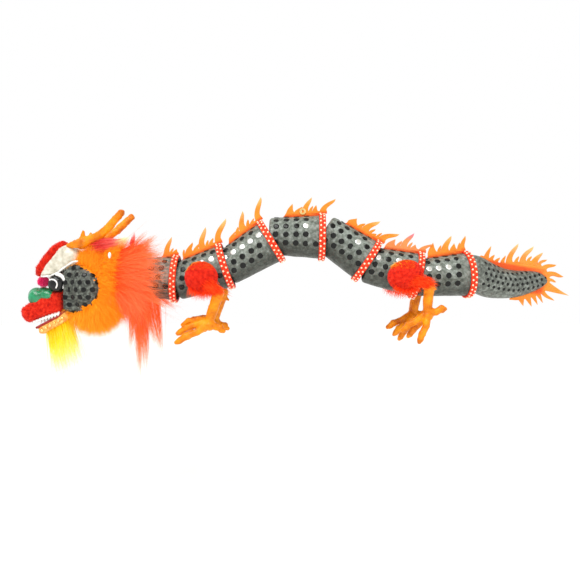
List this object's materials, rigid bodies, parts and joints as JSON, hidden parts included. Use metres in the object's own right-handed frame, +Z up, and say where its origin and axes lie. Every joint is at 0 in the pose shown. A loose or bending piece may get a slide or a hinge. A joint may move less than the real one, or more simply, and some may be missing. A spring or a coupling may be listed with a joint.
{
  "type": "jointed dragon toy",
  "caption": "Hanging jointed dragon with a plush maned head, nested cloth drums, felt flame fins, clawed legs and a finned tail; every drum turns and bends on the next.",
  "frame": {"origin": "centre of the hanging eyelet in the middle drum's fin", "axes": "+X along the dragon towards its tail, +Y across it towards its right side, +Z up"},
  "size_m": [0.5747, 0.086, 0.1894],
  "materials": {
    "scale_cloth": "satin",
    "tail_cloth": "satin",
    "frame_plastic": "matte",
    "red_braid": "matte",
    "orange_felt": "matte",
    "brass_eyelet": "polished",
    "skull_plastic": "matte",
    "red_plush": "matte",
    "green_lacquer": "gloss",
    "cream_satin": "satin",
    "orange_plastic": "satin",
    "black_gloss": "gloss",
    "white_plastic": "satin",
    "jaw_plastic": "satin",
    "gold_plastic": "satin",
    "yellow_down": "matte",
    "orange_fur": "matte",
    "red_down": "matte"
  },
  "bodies": {
    "drum_1": {"drum_1_shell": "scale_cloth", "drum_1_spine": "frame_plastic", "drum_1_band": "red_braid", "drum_1_fin": "orange_felt"},
    "drum_2": {"drum_2_shell": "scale_cloth", "drum_2_spine": "frame_plastic", "drum_2_band": "red_braid", "drum_2_fin": "orange_felt"},
    "drum_3": {"drum_3_shell": "scale_cloth", "drum_3_spine": "frame_plastic", "drum_3_band": "red_braid", "drum_3_fin": "orange_felt"},
    "drum_4": {"drum_4_shell": "scale_cloth", "drum_4_spine": "frame_plastic", "drum_4_band": "red_braid", "drum_4_fin": "orange_felt", "hang_eyelet": "brass_eyelet"},
    "drum_5": {"drum_5_shell": "scale_cloth", "drum_5_spine": "frame_plastic", "drum_5_band": "red_braid", "drum_5_fin": "orange_felt"},
    "drum_6": {"drum_6_shell": "scale_cloth", "drum_6_spine": "frame_plastic", "drum_6_band": "red_braid", "drum_6_fin": "orange_felt"},
    "drum_7": {"drum_7_shell": "scale_cloth", "drum_7_spine": "frame_plastic", "drum_7_band": "red_braid", "drum_7_fin": "orange_felt"},
    "cross_1": {"cross_1": "frame_plastic"},
    "cross_2": {"cross_2": "frame_plastic"},
    "cross_3": {"cross_3": "frame_plastic"},
    "cross_4": {"cross_4": "frame_plastic"},
    "cross_5": {"cross_5": "frame_plastic"},
    "cross_6": {"cross_6": "frame_plastic"},
    "cross_7": {"cross_7": "frame_plastic"},
    "cross_8": {"cross_8": "frame_plastic"},
    "tail": {"tail_body": "tail_cloth", "tail_fin": "orange_felt"},
    "head": {"head_shell": "skull_plastic", "muzzle": "red_plush", "nose": "green_lacquer", "forehead": "cream_satin", "crest": "red_plush", "horns": "orange_plastic", "eyes": "black_gloss", "upper_teeth": "white_plastic", "ruff": "orange_fur", "mane": "red_down"},
    "jaw": {"lower_jaw": "jaw_plastic", "lower_teeth": "gold_plastic", "beard": "yellow_down"},
    "leg_front_left": {"leg_front_left": "orange_plastic", "thigh_puff_front_left": "red_plush"},
    "leg_front_right": {"leg_front_right": "orange_plastic", "thigh_puff_front_right": "red_plush"},
    "leg_hind_left": {"leg_hind_left": "orange_plastic", "thigh_puff_hind_left": "red_plush"},
    "leg_hind_right": {"leg_hind_right": "orange_plastic", "thigh_puff_hind_right": "red_plush"}
  },
  "joints": [
    {"name": "bend_1", "type": "hinge", "parent": "drum_1", "child": "cross_1", "pos_m": [-0.17799, 0, -0.06836], "axis": [0, 1, 0], "range_deg": [-12, 15]},
    {"name": "turn_1", "type": "hinge", "parent": "cross_1", "child": "head", "pos_m": [-0.17799, 0, -0.06836], "axis": [0, 0, -1], "range_deg": [-12, 12]},
    {"name": "bend_2", "type": "hinge", "parent": "drum_2", "child": "cross_2", "pos_m": [-0.12337, 0, -0.07122], "axis": [0, 1, 0], "range_deg": [-20, 7]},
    {"name": "turn_2", "type": "hinge", "parent": "cross_2", "child": "drum_1", "pos_m": [-0.12337, 0, -0.07122], "axis": [-0.0523, 0, -0.9986], "range_deg": [-15, 15]},
    {"name": "bend_3", "type": "hinge", "parent": "drum_3", "child": "cross_3", "pos_m": [-0.07135, 0, -0.05432], "axis": [0, 1, 0], "range_deg": [-49, 15]},
    {"name": "turn_3", "type": "hinge", "parent": "cross_3", "child": "drum_2", "pos_m": [-0.07135, 0, -0.05432], "axis": [0.309, 0, -0.9511], "range_deg": [-15, 15]},
    {"name": "bend_4", "type": "hinge", "parent": "drum_4", "child": "cross_4", "pos_m": [-0.02446, 0, -0.02615], "axis": [0, 1, 0], "range_deg": [-4, 60]},
    {"name": "turn_4", "type": "hinge", "parent": "cross_4", "child": "drum_3", "pos_m": [-0.02446, 0, -0.02615], "axis": [0.515, 0, -0.8572], "range_deg": [-15, 15]},
    {"name": "turn_5", "type": "hinge", "parent": "drum_4", "child": "cross_5", "pos_m": [0.03023, 0, -0.0271], "axis": [0.0175, 0, 0.9998], "range_deg": [-15, 15]},
    {"name": "bend_5", "type": "hinge", "parent": "cross_5", "child": "drum_5", "pos_m": [0.03023, 0, -0.0271], "axis": [0, -1, 0], "range_deg": [-3, 61]},
    {"name": "turn_6", "type": "hinge", "parent": "drum_5", "child": "cross_6", "pos_m": [0.07558, 0, -0.05769], "axis": [0.5592, 0, 0.829], "range_deg": [-15, 15]},
    {"name": "bend_6", "type": "hinge", "parent": "cross_6", "child": "drum_6", "pos_m": [0.07558, 0, -0.05769], "axis": [0, -1, 0], "range_deg": [-58, 6]},
    {"name": "turn_7", "type": "hinge", "parent": "drum_6", "child": "cross_7", "pos_m": [0.12909, 0, -0.06906], "axis": [0.2079, 0, 0.9781], "range_deg": [-24, 6]},
    {"name": "bend_7", "type": "hinge", "parent": "cross_7", "child": "drum_7", "pos_m": [0.12909, 0, -0.06906], "axis": [0.153, -0.9877, -0.0325], "range_deg": [-52, 12]},
    {"name": "turn_8", "type": "hinge", "parent": "drum_7", "child": "cross_8", "pos_m": [0.18302, 0.00822, -0.06511], "axis": [-0.0664, -0.0431, 0.9969], "range_deg": [-19, 11]},
    {"name": "bend_8", "type": "hinge", "parent": "cross_8", "child": "tail", "pos_m": [0.18302, 0.00822, -0.06511], "axis": [0.2214, -0.9748, -0.0274], "range_deg": [-17, 41]},
    {"name": "hip_front_left", "type": "hinge", "parent": "drum_2", "child": "leg_front_left", "pos_m": [-0.10264, 0, -0.06869], "axis": [0, -1, 0], "range_deg": [-20, 25]},
    {"name": "hip_front_right", "type": "hinge", "parent": "drum_2", "child": "leg_front_right", "pos_m": [-0.10264, 0, -0.06869], "axis": [0, -1, 0], "range_deg": [-20, 25]},
    {"name": "hip_hind_left", "type": "hinge", "parent": "drum_6", "child": "leg_hind_left", "pos_m": [0.10077, 0, -0.06662], "axis": [0, -1, 0], "range_deg": [-25, 25]},
    {"name": "hip_hind_right", "type": "hinge", "parent": "drum_6", "child": "leg_hind_right", "pos_m": [0.10077, 0, -0.06662], "axis": [0, -1, 0], "range_deg": [-17, 33]},
    {"name": "jaw_hinge", "type": "hinge", "parent": "head", "child": "jaw", "pos_m": [-0.24399, 0, -0.10536], "axis": [0, -1, 0], "range_deg": [-3, 14]}
  ]
}
